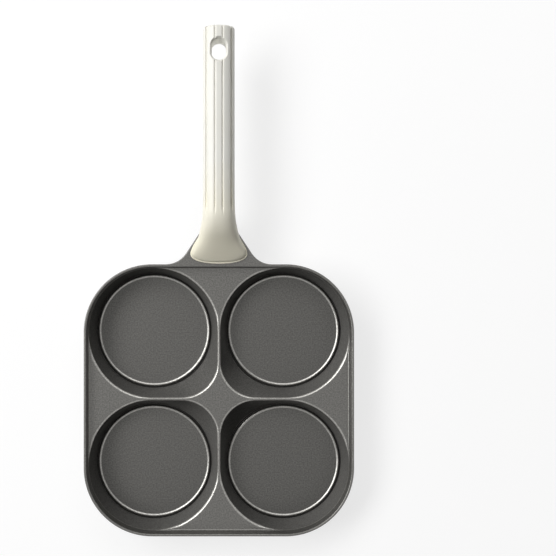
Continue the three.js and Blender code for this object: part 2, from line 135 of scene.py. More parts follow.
class PanSizes(PropertyGroup):
    """Sizes of the casting, and the places and heights that follow from them."""

    width: length("Width", "Body across X", 190.0)
    depth: length("Length", "Body along Y, without the neck", 191.2)
    middle_y: length("Middle", "Y of the middle of the body", -81.45)
    corner: length("Corner radius", "Outer corner in plan", 48.0)
    rim_z: length("Rim height", "Top of the rim over the ground", 29.0)
    rim_land: length("Rim width", "Width of the rim's top", 1.8)
    rim_draft: length("Rim draft", "Lean of the rim's inner wall", 0.6)
    recess: length("Recess depth", "From the rim down to the deck", 7.0)
    deck: length("Deck thickness", "Thickness of the deck", 3.0)
    cup_depth: length("Cup depth", "From the rim down to a cup's floor", 25.0)
    floor_radius: length("Floor radius", "Flat part of a cup's floor", 38.3)
    bead_fillet: length("Bead fillet", "Round between the floor and the bead about it", 0.9)
    bead_radius: length("Bead radius", "From a cup's axis to the bead's crest", 39.7)
    bead_round: length("Bead round", "Round of the bead's crest", 0.8)
    groove_depth: length("Groove depth", "From the bead's crest to the groove at the wall's foot", 1.85)
    groove_round: length("Groove round", "Round in the bottom of that groove", 0.25)
    ridge: length("Ridge width", "Between neighbouring cups", 1.6)
    squared: length("Squared corner", "Corner radius of the openings towards the middle", 25.0)
    wall: length("Wall", "Wall thickness of a cup", 2.7)
    base_radius: length("Base radius", "Flat part of a cup's underside", 39.0)
    base_round: length("Base round", "Round between underside and outer wall", 5.0)
    hollow_round: length("Hollow", "Round between outer wall and the deck's underside", 1.5)
    skirt_gap: length("Skirt gap", "Keeps a cup's outer wall inside the rim's outside", 0.3)
    edge_round: length("Cup edge", "Round between a cup's wall and the deck", 2.4)
    foot_round: length("Rim foot", "Round between the deck and the rim", 1.2)
    top_round: length("Rim top", "Round on the inner edge of the rim's top", 0.7)
    break_round: length("Edge break", "Round on the rim's and the neck's edges", 0.6)
    pocket_radius: length("Pocket radius", "Pocket for a base plate", 36.2)
    pocket_depth: length("Pocket depth", "Depth of that pocket", 1.0)
    neck_length: length("Neck length", "From the body to the neck's tip", 31.5)
    neck_root: length("Neck root", "Half width of the neck at the body", 28.2)
    neck_tip: length("Neck tip", "Half width of the neck at its tip", 7.4)
    neck_fillet: length("Neck fillet", "Blend from the body into the neck", 9.7)
    neck_round: length("Tip round", "Corners of the neck's tip", 4.0)

    @property
    def cup(self):
        """A cup's axis, measured from the body's two planes of symmetry."""
        return np.array([self.width, self.depth]) / 2 - self.corner

    @property
    def inset(self):
        """From the outside to the foot of the rim."""
        return self.rim_land + self.rim_draft

    @property
    def deck_z(self):
        """Top of the deck."""
        return self.rim_z - self.recess

    @property
    def under_z(self):
        """Underside of the deck and of the rim."""
        return self.deck_z - self.deck


class HandleSizes(PropertyGroup):
    """Sizes of the handle."""

    nose_y: length("Nose", "Y of the handle's front", 14.55)
    reach: length("Length", "From the nose to the end", 162.5)
    rise: length("Rise", "From the rim to the top of the bar", 22.0)
    bar_width: length("Bar width", "Width of the bar", 21.8)
    bar_height: length("Bar height", "Height of the bar", 20.0)
    bell_width: length("Bell width", "Widest part of the flared base", 40.0)
    bell_nose: length("Bell nose", "From the nose to the widest part", 7.1)
    bell_fade: length("Bell fade", "Length over which the flare dies away", 13.5)
    bell_length: length("Bell length", "From the nose to the level bar", 42.0)
    slope_length: length("Slope length", "From the nose to the top of the slope", 36.5)
    slope_straight: length("Straight slope", "Straight part of the slope", 19.0)
    foot_middle: length("Foot middle", "From the rim to the section's middle at the nose", 1.0)
    foot_drop: length("Foot drop", "How far the section is cut off below at the nose", 3.0)
    lip: length("Lip", "Height of the step behind the ledge", 2.2)
    lip_round: length("Lip round", "Round of that step", 1.2)
    ledge: length("Ledge", "Width of the ledge round the bell's foot", 0.9)
    ledge_height: length("Ledge height", "Height of that ledge", 1.5)
    ledge_fade: length("Ledge run-out", "From the nose to where the ledge has died away", 26.0)
    groove: length("Groove depth", "Depth of the flutes at the sides", 0.9)
    groove_fade: length("Groove run-out", "Length over which the flutes begin", 10.5)
    end_round: length("End round", "Round of the far end", 1.6)
    hole_width: length("Hole width", "Hanging hole across X", 10.0)
    hole_length: length("Hole length", "Hanging hole along Y", 14.5)
    hole_back: length("Hole place", "From the end to the hole's middle", 16.5)
    hole_chamfer: length("Hole chamfer", "Chamfer at both ends of the hole", 1.3)


class FixingSizes(PropertyGroup):
    """Sizes of the screws, their bores and the base plates."""

    first_y: length("Front screw", "Y of the front screw", 27.15)
    pitch: length("Pitch", "Between the two screws", 10.6)
    head_radius: length("Head radius", "Screw head", 4.5)
    head_height: length("Head height", "Screw head", 3.0)
    head_round: length("Head round", "Round of the head's edge", 1.1)
    head_edge: length("Head edge", "Edge break on the head's bearing side", 0.15)
    head_z: length("Head underside", "Lowest point of a screw", 19.3)
    shank_radius: length("Shank radius", "Screw shank", 2.5)
    shank_top: length("Shank top", "Upper end of a screw", 34.6)
    shank_chamfer: length("Shank chamfer", "Chamfer at that end", 0.5)
    bore_radius: length("Head bore", "Bore for head and washers", 5.25)
    bore_top: length("Bore top", "Seat of the washers", 24.5)
    hole_radius: length("Shank bore", "Bore for the shank", 2.75)
    insert_radius: length("Insert pocket", "Pocket for an insert", 3.85)
    insert_top: length("Insert pocket top", "Upper end of that pocket", 35.15)
    drive_width: length("Drive width", "Width of the cross recess", 1.1)
    drive_span: length("Drive span", "Span of the cross recess", 5.0)
    drive_depth: length("Drive depth", "Depth of the cross recess", 1.6)
    plate_radius: length("Plate radius", "Base plate", 36.0)
    plate_thickness: length("Plate thickness", "Base plate", 1.0)
    plate_edge: length("Plate edge", "Edge break of a base plate", 0.3)


class Finishes(PropertyGroup):
    """Colours of the materials."""

    coat: colour("Coat", "Non-stick coat", (0.3174, 0.3105, 0.2927))
    coat_dark: colour("Coat speckle", "Darker specks in the coat", (0.1946, 0.1903, 0.1794))
    grip: colour("Grip", "Moulded handle", (0.848, 0.838, 0.784))
    grip_warm: colour("Grip shade", "Warmer tone in the moulding", (0.834, 0.822, 0.759))
    # painted shade: the bell colours are the cream tinted warmer and yellower, as the sloping base looks in
    # its shade
    bell: colour("Bell", "Moulding at the handle's base", (0.872, 0.833, 0.688))
    bell_warm: colour("Bell shade", "Warmer tone at the handle's base", (0.859, 0.817, 0.665))
    steel: colour("Steel", "Base plates and fasteners", (0.62, 0.62, 0.63))
    brass: colour("Brass", "Threaded inserts", (0.66, 0.47, 0.19))


class StageSettings(PropertyGroup):
    """Light and camera."""

    key_power: FloatProperty(
        name="Key power", description="Soft light from the upper left", default=52.0, unit="POWER"
    )
    fill: FloatProperty(name="Fill", description="Strength of the even light from all round", default=0.02)
    camera_y: length("Camera Y", "Camera over this Y", 11.55)
    camera_z: length("Camera height", "Camera over the ground", 679.0)
    lens: FloatProperty(name="Lens", description="Focal length in millimetres", default=59.94, unit="CAMERA")
    shift_x: FloatProperty(name="Shift X", description="Sideways shift of the frame", default=0.1063)
    shift_y: FloatProperty(name="Shift Y", description="Upward shift of the frame", default=-0.018)


class EggPan(PropertyGroup):
    """All settings of the egg pan."""

    pan: PointerProperty(type=PanSizes)
    handle: PointerProperty(type=HandleSizes)
    fixing: PointerProperty(type=FixingSizes)
    finish: PointerProperty(type=Finishes)
    stage: PointerProperty(type=StageSettings)


def smooth_step(value, low, high):
    """The cubic 3t^2 - 2t^3 with t = (value - low) / (high - low), held to 0..1."""
    t = np.clip((value - low) / (high - low), 0.0, 1.0)
    return t * t * (3.0 - 2.0 * t)


def blend(first, second, share):
    """Rows between two rows of points: first + (second - first) * share, one row for each share."""
    share = np.reshape(share, (-1,) + (1,) * np.ndim(first))
    return first + (second - first) * share


def grid_quads(rows, columns, wrap):
    """Corner numbers of the quads of a rows x columns grid; wrap joins the last column to the first."""
    row = np.arange(rows - 1)[:, None]
    column = np.arange(columns if wrap else columns - 1)[None, :]
    right = (column + 1) % columns
    here, below = row * columns, (row + 1) * columns
    corners = [here + column, below + column, below + right, here + right]
    return np.stack(np.broadcast_arrays(*corners), axis=-1).reshape(-1, 4)


class Surface:
    """Grids gathered into one closed mesh."""

    def __init__(self):
        self.points = []
        self.quads = []
        self.count = 0

    def add(self, grid, wrap=False, flip=False):
        """Adds a rows x columns x 3 grid of points."""
        quads = grid_quads(grid.shape[0], grid.shape[1], wrap) + self.count
        self.quads.append(quads[:, ::-1] if flip else quads)
        self.points.append(grid.reshape(-1, 3))
        self.count += grid.shape[0] * grid.shape[1]

    def mesh(self, name, merge=1e-6):
        """Joins points that coincide, which closes seams and poles, and turns all faces outwards."""
        mesh = bpy.data.meshes.new(name)
        mesh.from_pydata(np.concatenate(self.points).tolist(), [], np.concatenate(self.quads).tolist())
        work = bmesh.new()
        work.from_mesh(mesh)
        bmesh.ops.remove_doubles(work, verts=work.verts, dist=merge)
        bmesh.ops.dissolve_degenerate(work, edges=work.edges, dist=merge)
        bmesh.ops.recalc_face_normals(work, faces=work.faces)
        work.to_mesh(mesh)
        work.free()
        return mesh


def smooth(mesh, sharp):
    """Shades a mesh smooth but for edges sharper than the given angle."""
    mesh.polygons.foreach_set("use_smooth", np.ones(len(mesh.polygons), dtype=bool))
    mesh.set_sharp_from_angle(angle=sharp)


def show(mesh, name, sharp=SHARP):
    """Makes the object of a mesh, smooth but for sharp edges."""
    smooth(mesh, sharp)
    piece = bpy.data.objects.new(name, mesh)
    bpy.context.scene.collection.objects.link(piece)
    return piece


def combine(piece, tool, operation, sharp=SHARP):
    """Joins the closed mesh tool to the piece or takes it out of the piece."""
    other = bpy.data.objects.new("tool", tool)
    bpy.context.scene.collection.objects.link(other)
    modifier = piece.modifiers.new("combine", "BOOLEAN")
    modifier.operation = operation
    modifier.solver = "EXACT"
    modifier.object = other
    result = bpy.data.meshes.new_from_object(piece.evaluated_get(bpy.context.evaluated_depsgraph_get()))
    piece.modifiers.clear()
    old = piece.data
    name = old.name
    piece.data = result
    bpy.data.objects.remove(other)
    bpy.data.meshes.remove(old)
    bpy.data.meshes.remove(tool)
    result.name = name
    if not result.polygons:
        raise RuntimeError("nothing is left of " + piece.name)
    smooth(result, sharp)


def turned(profile, segments, x, y):
    """Grid of a profile of (radius, z) turned about the upright line through x, y."""
    radius, z = np.transpose(profile)
    angle = np.linspace(0.0, 2.0 * np.pi, segments, endpoint=False)
    grid = np.empty((len(radius), segments, 3))
    grid[..., 0] = x + radius[:, None] * np.cos(angle)
    grid[..., 1] = y + radius[:, None] * np.sin(angle)
    grid[..., 2] = z[:, None]
    return grid


def quarter(radius, z, bend_radius, start, end, steps=5):
    """Points (radius, z) on an arc about radius, z from the angle start to end in degrees."""
    angle = np.radians(np.linspace(start, end, steps + 1))
    return np.column_stack((radius + bend_radius * np.cos(angle), z + bend_radius * np.sin(angle)))


def arc(radius, z, bend_radius, angle):
    """Points of a round that starts level: r + b sin(angle), z + b (1 - cos(angle)); b < 0 bends it down."""
    return radius + bend_radius * np.sin(angle), z + bend_radius * (1 - np.cos(angle))


def opening_reach(pan, angle, outer):
    """Distance from a cup's axis to its opening, at angles measured in the quarter p, q.

    Away from the pan's middle it is an ellipse, r = 1 / hypot(cos / a, sin / b).
    Towards it, it is a square with round corners of radius c about the point k:
    r = k.d + sqrt((k.d)^2 - k.k + c^2) in the corner and a / |cos| or b / |sin| on the sides.
    """
    c, s = np.cos(angle), np.sin(angle)
    inner_x, inner_y = pan.cup - pan.ridge / 2
    ellipse = 1.0 / np.hypot(c / np.where(c > 0, outer, inner_x), s / np.where(s > 0, outer, inner_y))
    ac, sc = np.maximum(np.abs(c), TINY), np.maximum(np.abs(s), TINY)
    side = np.minimum(inner_x / ac, inner_y / sc)
    kx, ky = inner_x - pan.squared, inner_y - pan.squared
    ahead = ac * kx + sc * ky
    corner = ahead + np.sqrt(np.maximum(ahead**2 - kx**2 - ky**2 + pan.squared**2, 0.0))
    in_corner = (ac * side > kx) & (sc * side > ky)
    square = np.where(in_corner, corner, side)
    return np.where((c < -TINY) & (s < -TINY), square, ellipse)


def floor_profile(pan):
    """Radii and heights of a cup's floor, the bead round it and the groove at the wall's foot.

    The floor bends up on a round, runs on straight, turns over the bead's crest and falls straight to the
    groove, whose round follows down to its lowest point.
    """
    up, down = BEAD_RISE, BEAD_FALL
    flat = np.array([0.0, 0.35, 0.65, 0.88, 1.0]) * pan.floor_radius
    rise_r, rise_z = arc(pan.floor_radius, 0.0, pan.bead_fillet, np.linspace(0.0, up, 6)[1:])
    straight = pan.bead_radius - pan.bead_round * math.sin(up) - rise_r[-1]
    top = rise_z[-1] + straight * math.tan(up) + pan.bead_round * (1 - math.cos(up))
    crest_r, crest_z = arc(pan.bead_radius, top, -pan.bead_round, np.linspace(up, -down, 7))
    bottom = top - pan.groove_depth
    fall = crest_z[-1] - bottom - pan.groove_round * (1 - math.cos(down))
    axis_r = crest_r[-1] + fall / math.tan(down) + pan.groove_round * math.sin(down)
    hollow_r, hollow_z = arc(axis_r, bottom, pan.groove_round, np.linspace(-down, 0.0, 5))
    radius = np.concatenate((flat, rise_r, crest_r, hollow_r))
    height = np.concatenate((np.zeros_like(flat), rise_z, crest_z, hollow_z))
    return radius, pan.rim_z - pan.cup_depth + height


def wall_slope(foot, fillet, foot_z, reach, top_z):
    """Slope of a wall that leaves a fillet of the foot without a kink and ends at reach, top_z.

    The fillet ends at foot + f sin(a), foot_z + f (1 - cos(a)), where a is the slope looked for, so it is
    found by repeating a = atan2(top_z - z, reach - r).
    """
    first_guess, rounds = math.radians(70), 30
    slope = np.full_like(reach, first_guess)
    for _ in range(rounds):
        rise = top_z - foot_z - fillet * (1 - np.cos(slope))
        run = reach - foot - fillet * np.sin(slope)
        slope = 0.5 * (slope + np.arctan2(rise, run))
    return slope


def neck_path(pan, share):
    """Half outline of the neck from the body to its tip, in the quarter p, q, at shares of its length.

    A quadratic curve leaves the body, a straight taper follows, and a quadratic curve rounds the tip.
    Returns points and outward normals.
    """
    edge = pan.depth / 2
    tip = edge + pan.neck_length
    taper = np.array([pan.neck_tip - pan.neck_root, pan.neck_length])
    taper /= np.hypot(*taper)
    wide = np.array([pan.neck_root + pan.neck_fillet, edge])
    root = np.array([pan.neck_root, edge])
    corner = np.array([pan.neck_tip, tip])
    side = root + taper * pan.neck_fillet
    turn = corner - taper * pan.neck_round
    nose = np.array([pan.neck_tip - pan.neck_round, tip])
    t = np.linspace(0.0, 1.0, 60)[:, None]
    first = (1 - t) ** 2 * wide + 2 * t * (1 - t) * root + t**2 * side
    last = (1 - t) ** 2 * turn + 2 * t * (1 - t) * corner + t**2 * nose
    path = np.concatenate((first, last, [[0.0, tip]]))
    step = np.hypot(*np.diff(path, axis=0).T)
    travelled = np.concatenate(([0.0], np.cumsum(step)))
    at = share * travelled[-1]
    points = np.column_stack([np.interp(at, travelled, path[:, k]) for k in (0, 1)])
    keep_apart = np.arange(len(travelled)) * 1e-12
    tangent = np.gradient(path, travelled + keep_apart, axis=0)
    heading = np.column_stack([np.interp(at, travelled, tangent[:, k]) for k in (0, 1)])
    heading /= np.hypot(heading[:, 0], heading[:, 1])[:, None]
    normals = np.column_stack((heading[:, 1], -heading[:, 0]))
    normals[[0, -1]] = (0.0, 1.0)
    return points, normals


def lift(plan, z):
    """Joins plan points (..., 2) and heights to points (..., 3)."""
    return np.concatenate((plan, np.broadcast_to(z, plan.shape[:-1])[..., None]), axis=-1)


class CupRays:
    """Rays from a cup's axis in a quarter of the casting, one for each column of its grids.

    p and q are the distances from the pan's two planes of symmetry. A ray meets the cup's opening at reach
    and ends at bound, which is the foot of the rim or a plane of symmetry. At the rim, normal points out,
    facing is its share along the ray, room is the width of the deck and lean the slope of the rim's inner
    wall. The round at the rim's foot has the radius foot_round and takes up foot_run of the deck.
    """

    def __init__(self, pan):
        self.cup = cup = pan.cup
        base = pan.corner - pan.inset
        to_side = math.atan2(-cup[1], base)
        to_neck = math.atan2(base, pan.neck_root + pan.neck_fillet - cup[0])
        to_end = math.atan2(base, -cup[0])
        to_middle = math.atan2(-cup[1], -cup[0]) + 2 * math.pi
        stops = [to_side, 0.0, math.pi / 2, to_neck, to_end, math.pi]
        stops += [to_middle, 1.5 * math.pi, to_side + 2 * math.pi]
        counts = [34, 58, 8, 48, 26, 34, 34, 26]
        spans = zip(stops[:-1], stops[1:], counts)
        self.angle = angle = np.concatenate([np.linspace(a, b, n, endpoint=False) for a, b, n in spans])
        self.rim_count = sum(counts[:4]) + 1
        self.neck = slice(sum(counts[:3]), self.rim_count)
        self.rim = rim = np.arange(len(angle)) < self.rim_count
        self.ray = ray = np.column_stack((np.cos(angle), np.sin(angle)))
        cos, sin = ray.T

        square_on = np.where(angle < 0, cos, np.where(angle <= math.pi / 2, 1.0, sin))
        to_rim = base / np.where(rim, square_on, 1.0)
        to_p = np.where(cos < -TINY, -cup[0] / np.where(cos < -TINY, cos, -1.0), np.inf)
        to_q = np.where(sin < -TINY, -cup[1] / np.where(sin < -TINY, sin, -1.0), np.inf)
        self.bound = np.where(rim, to_rim, np.minimum(to_p, to_q))
        beside, ahead = (angle < 0)[:, None], (angle > math.pi / 2)[:, None]
        self.normal = np.where(beside, (1.0, 0.0), np.where(ahead, (0.0, 1.0), ray))
        self.facing = np.where(rim, np.sum(self.normal * ray, axis=1), 1.0)
        self.reach = np.minimum(opening_reach(pan, angle, base), self.bound)
        self.room = (self.bound - self.reach) * self.facing
        self.foot = self.at(self.bound)
        self.lean = math.atan2(pan.recess, pan.rim_draft)
        most = FOOT_SHARE * self.room / FOOT_WIDTH
        self.foot_round = np.where(rim, np.minimum(pan.foot_round, most), 0.0)
        self.foot_run = self.foot_round * math.tan(self.lean / 2)

    def at(self, radius):
        """Plan points on the rays at rows of distances from the axis."""
        return self.cup + radius[..., None] * self.ray


def top_grid(pan, rays):
    """A cup from its floor over the bead, the wall and the rounded edge, and the deck out to the rays' ends.

    The wall is straight from the groove's round to the edge's, whose tangents are as long as the room allows.
    """
    low_r, low_z = floor_profile(pan)
    slope = wall_slope(low_r[-1], pan.groove_round, low_z[-1], rays.reach, pan.deck_z)
    half = np.tan(slope / 2)
    share = np.where(rays.rim, RIM_SHARE, RIDGE_SHARE)
    tangent = np.minimum(pan.edge_round * half, share * rays.room)
    every = np.ones_like(slope)
    bend = np.linspace(0.0, 1.0, 6)[1:, None] * slope
    fillet_r, fillet_z = arc(low_r[-1], low_z[-1], pan.groove_round, bend)
    wall_r = blend(fillet_r[-1], rays.reach - tangent * np.cos(slope), WALL_ROWS)
    wall_z = blend(fillet_z[-1], pan.deck_z - tangent * np.sin(slope), WALL_ROWS)
    turn = np.linspace(1.0, 0.0, 10)[1:, None] * slope
    edge_r, edge_z = arc(rays.reach + tangent, pan.deck_z, -tangent / half, turn)
    plan = rays.at(np.concatenate((low_r[:, None] * every, fillet_r, wall_r, edge_r)))
    height = np.concatenate((low_z[:, None] * every, fillet_z, wall_z, edge_z))
    deck_end = rays.foot - rays.foot_run[:, None] * rays.normal
    deck = blend(plan[-1], deck_end, np.linspace(0, 1, 4)[1:])
    return np.concatenate((lift(plan, height), lift(deck, pan.deck_z)))


def rim_grid(pan, rays, with_neck):
    """The rim: from the round at its foot up the leaning inner wall, over its top and down the outside.

    Rows are offsets u from the foot along the normal, at heights z. A neck's outline replaces the outside.
    """
    columns = slice(0, rays.rim_count)
    foot, normal = rays.foot[columns], rays.normal[columns]
    up = np.linspace(0.0, rays.lean, 6)[:, None]
    base_u, base_z = arc(-rays.foot_run[columns], pan.deck_z, rays.foot_round[columns], up)
    top_u = pan.rim_draft + pan.top_round * math.tan(rays.lean / 2)
    crest_u, crest_z = arc(top_u, pan.rim_z, -pan.top_round, up[::-1] * np.ones(rays.rim_count))
    inner_u = np.concatenate((base_u, blend(base_u[-1], crest_u[0], [1 / 3, 2 / 3]), crest_u))
    inner_z = np.concatenate((base_z, blend(base_z[-1], crest_z[0], [1 / 3, 2 / 3]), crest_z))
    inner = lift(foot + inner_u[..., None] * normal, inner_z)
    outside = foot + pan.inset * normal
    facing_out = normal.copy()
    if with_neck:
        share = 1.0 - foot[rays.neck, 0] / (pan.neck_root + pan.neck_fillet)
        outside[rays.neck], facing_out[rays.neck] = neck_path(pan, share)
    b = pan.break_round
    land = blend(inner[-1, :, :2], outside - b * facing_out, np.linspace(0, 1, 6)[1:-1])
    edge_u, drop = arc(-b, 0.0, b, np.radians(np.linspace(0.0, 90.0, 7))[:, None])
    edge = outside + edge_u[..., None] * facing_out
    skirt_z = np.linspace(pan.rim_z - b, pan.under_z + b, 4)[1:-1, None]
    skirt = lift(np.broadcast_to(outside, (2,) + outside.shape), skirt_z)
    hem = lift(edge[::-1], pan.under_z + drop[::-1])
    return np.concatenate((inner, lift(land, pan.rim_z), lift(edge, pan.rim_z - drop), skirt, hem))


def under_grid(pan, rays, hem):
    """The underside: the plate's pocket, the base's round, the outer wall and the deck out to the hem.

    The outer wall stops at the deck's underside, with a hollow round, or where it meets the next cup's wall.
    """
    reach = opening_reach(pan, rays.angle, pan.corner - pan.inset - pan.skirt_gap) + pan.wall
    slope = wall_slope(pan.base_radius, pan.base_round, 0.0, reach, pan.deck_z)
    base_r, base_z = arc(pan.base_radius, 0.0, pan.base_round, np.linspace(0.0, 1.0, 9)[1:, None] * slope)
    at_under = base_r[-1] + (pan.under_z - base_z[-1]) / np.tan(slope)
    bound = rays.bound + np.where(rays.rim, (pan.inset - pan.break_round) / rays.facing, 0.0)
    meets = at_under >= bound
    stop_r = np.where(meets, bound, at_under)
    stop_z = np.where(meets, base_z[-1] + (bound - base_r[-1]) * np.tan(slope), pan.under_z)
    half = np.tan(slope / 2)
    tangent = np.minimum(pan.hollow_round * half, FOOT_SHARE * np.maximum(bound - stop_r, 0.0))
    wall_r = blend(base_r[-1], stop_r - tangent * np.cos(slope), WALL_ROWS)
    wall_z = blend(base_z[-1], stop_z - tangent * np.sin(slope), WALL_ROWS)
    turn = np.linspace(1.0, 0.0, 5)[1:, None] * slope
    hollow_r, hollow_z = arc(stop_r + tangent, stop_z, -tangent / half, turn)
    every = np.ones((1, len(slope)))
    pocket_r = pan.pocket_radius * np.array([[0.0], [0.5], [1.0], [1.0]]) * every
    pocket_z = pan.pocket_depth * np.array([[1.0], [1.0], [1.0], [0.0]]) * every
    plan = rays.at(np.concatenate((pocket_r, pan.base_radius * every, base_r, wall_r, hollow_r)))
    height = np.concatenate((pocket_z, 0.0 * every, base_z, wall_z, hollow_z))
    end = rays.at(bound)
    end[: rays.rim_count] = hem
    deck = blend(plan[-1], end, np.linspace(0, 1, 5)[1:])
    return np.concatenate((lift(plan, height), lift(deck, stop_z)))


def casting_quarter(pan, with_neck):
    """Grids of a quarter of the casting: top, rim and underside."""
    rays = CupRays(pan)
    rim = rim_grid(pan, rays, with_neck)
    return top_grid(pan, rays), rim, under_grid(pan, rays, rim[-1, :, :2])


def build_casting(pan, fixing):
    """The casting: four mirrored quarters, and bores for the screws through the neck."""
    surface = Surface()
    for side_y in (1, -1):
        top, rim, under = casting_quarter(pan, side_y > 0)
        for side_x in (1, -1):
            place = np.array([side_x, side_y, 1.0])
            middle = np.array([0.0, pan.middle_y, 0.0])
            turned_over = side_x * side_y < 0
            surface.add(top * place + middle, True, turned_over)
            surface.add(rim * place + middle, False, turned_over)
            surface.add(under * place + middle, True, not turned_over)
    piece = show(surface.mesh("casting"), "casting")
    bores = Surface()
    under_neck, over_neck = 15 * MM, 32 * MM
    for y in screw_places(fixing):
        profile = [
            (0.0, under_neck),
            (fixing.bore_radius, under_neck),
            (fixing.bore_radius, fixing.bore_top),
            (fixing.hole_radius, fixing.bore_top),
            (fixing.hole_radius, over_neck),
            (0.0, over_neck),
        ]
        bores.add(turned(profile, 48, 0.0, y), True)
    combine(piece, bores.mesh("bores"), "DIFFERENCE")
    mark_outside(piece.data)
    return piece


def mark_outside(mesh, least=0.1):
    """Marks faces whose normal has a Z below least, which is the outside, with 1 and all others with 0."""
    normals = np.empty(3 * len(mesh.polygons), dtype=np.float32)
    mesh.polygons.foreach_get("normal", normals)
    mark = mesh.attributes.new("outside", "FLOAT", "FACE")
    mark.data.foreach_set("value", (normals[2::3] < least).astype(np.float32))


def screw_places(fixing):
    """Y of the two screws."""
    return fixing.first_y, fixing.first_y + fixing.pitch


def foot_width(handle, run):
    """Half width of the bell's foot in plan at a distance run from the nose.

    w (1 - ((n - run) / n)^p)^(1 / p) up to the widest place at n, then bar + flare exp(-((run - n) / f)^q).
    """
    before = np.clip((handle.bell_nose - run) / handle.bell_nose, 0.0, 1.0)
    after = np.maximum(run - handle.bell_nose, 0.0) / handle.bell_fade
    nose = handle.bell_width / 2 * (1 - before**NOSE_POWER) ** (1 / NOSE_POWER)
    flare = (handle.bell_width - handle.bar_width) / 2 * np.exp(-(after**FLARE_POWER))
    return np.where(run < handle.bell_nose, nose, handle.bar_width / 2 + flare)


def handle_section(handle, rim_z, run, inset, turn):
    """Points of the handle's sections across Y: stations run, each with an inset, by angles turn.

    Crest: z = rim + lip sqrt(1 - (1 - (run - ledge) / round)^2) + a slope, straight at first, that eases off.
    Width: that of the foot, less the ledge, which dies away. Section: a squared ellipse x = w |cos|^(2 / p),
    z = middle + h |sin|^(2 / p), cut flat at the foot. Flutes: dents of cosine form in z at four angles above
    and four below, the outer ones with a longer side towards the edge. They run out towards the bell.
    """
    run, inset = run[:, None], inset[:, None]
    top_z = rim_z + handle.rise
    ease = handle.slope_length - handle.slope_straight
    past = np.clip(run - handle.slope_straight, 0.0, ease)
    climb = np.minimum(run, handle.slope_straight) - handle.ledge + past - past**2 / (2 * ease)
    steep = (handle.rise - handle.lip) / (handle.slope_straight - handle.ledge + ease / 2)
    front = np.clip((run - handle.ledge) / handle.lip_round, 0.0, 1.0)
    crest = rim_z + handle.lip * np.sqrt(1 - (1 - front) ** 2) + steep * climb - inset
    short = np.clip((handle.bell_nose - run) / (handle.bell_nose - handle.ledge), 0.0, 1.0)
    nose = (handle.bell_width / 2 - handle.ledge) * (1 - short**NOSE_POWER) ** (1 / NOSE_POWER)
    ledge = handle.ledge * (1 - smooth_step(run, LEDGE_START * handle.ledge_fade, handle.ledge_fade))
    wide = np.where(run < handle.bell_nose, nose, foot_width(handle, run) - ledge) - inset
    level = smooth_step(run, MIDDLE_START * handle.bell_length, handle.bell_length)
    rise = smooth_step(run, UNDER_START * handle.bell_length, handle.bell_length)
    fade = smooth_step(run, handle.bell_length - handle.groove_fade, handle.bell_length)
    bottom = rim_z + (handle.rise - handle.bar_height) * rise + inset
    low_middle = rim_z + handle.foot_middle
    middle = low_middle + (top_z - handle.bar_height / 2 - low_middle) * level
    middle = np.minimum(middle, (crest + rim_z) / 2)
    c, s = np.cos(turn), np.sin(turn)
    x = wide * np.sign(c) * np.abs(c) ** (2 / BAR_POWER)
    drop = bottom - middle - handle.foot_drop * (1 - level)
    z = middle + np.where(s >= 0, crest - middle, drop) * np.abs(s) ** (2 / BAR_POWER)
    folded = np.degrees(np.arctan2(np.abs(s), np.abs(c)))
    dent = np.zeros_like(folded)
    for place, depth, below, above in FLUTES:
        near = np.clip(np.maximum((place - folded) / below, (folded - place) / above), 0.0, 1.0)
        dent += 0.5 * depth * (1 + np.cos(np.pi * near))
    z = np.maximum(bottom, z - np.sign(s) * handle.groove * fade * dent)
    return np.stack(np.broadcast_arrays(x, handle.nose_y + run, z), axis=-1)


def ledge_grid(handle, rim_z):
    """Thin plate under the bell whose edge shows as a ledge: rows from the underside's spine round the edge.

    The edge follows the foot's outline, with a small chamfer below and a round of radius r above. Towards its
    end it is tucked in by a little more than the ledge's width, so that it runs out inside the bell.
    """
    chamfer, gap, r, inside = 0.25 * MM, 0.02 * MM, 0.45 * MM, 1 * MM
    tuck_start, tuck_end, end = np.array([0.45, 0.9, 0.92]) * handle.ledge_fade
    tucked = 1.05 * handle.ledge
    swell = np.radians(np.linspace(0.0, 90.0, 40))
    nose = handle.bell_nose * (1 - np.cos(swell))
    run = np.concatenate((nose, np.linspace(handle.bell_nose, end, 30)[1:]))
    wide = foot_width(handle, run) - tucked * smooth_step(run, tuck_start, tuck_end)
    side = np.column_stack((wide, handle.nose_y + run))
    path = np.concatenate((side, (side * (-1, 1))[:0:-1]))
    ahead, behind = np.roll(path, -1, axis=0), np.roll(path, 1, axis=0)
    heading = ahead - behind
    heading /= np.hypot(heading[:, 0], heading[:, 1])[:, None]
    normal = np.column_stack((heading[:, 1], -heading[:, 0]))
    normal[0] = (0.0, -1.0)
    spine = np.clip(path, (0.0, path[:, 1].min() + inside), (0.0, path[:, 1].max() - inside))
    low = rim_z + gap
    high = rim_z + handle.ledge_height
    over = np.radians(np.linspace(0.0, 90.0, 6))
    offsets = np.concatenate(([chamfer, 0.0], r * (1 - np.cos(over))))
    heights = np.concatenate(([low, low + chamfer], high - r + r * np.sin(over)))
    edge = lift(path - offsets[:, None, None] * normal, heights[:, None])
    return np.concatenate((lift(spine, low)[None], edge, lift(spine, high)[None]))


def bar_drop(handle, x):
    """Fall of the bar's top from its crest: h (1 - (1 - |x / w|^p)^(1 / p))."""
    share = np.clip(np.abs(x) / (handle.bar_width / 2), 0.0, 0.99)
    return handle.bar_height / 2 * (1 - (1 - share**BAR_POWER) ** (1 / BAR_POWER))


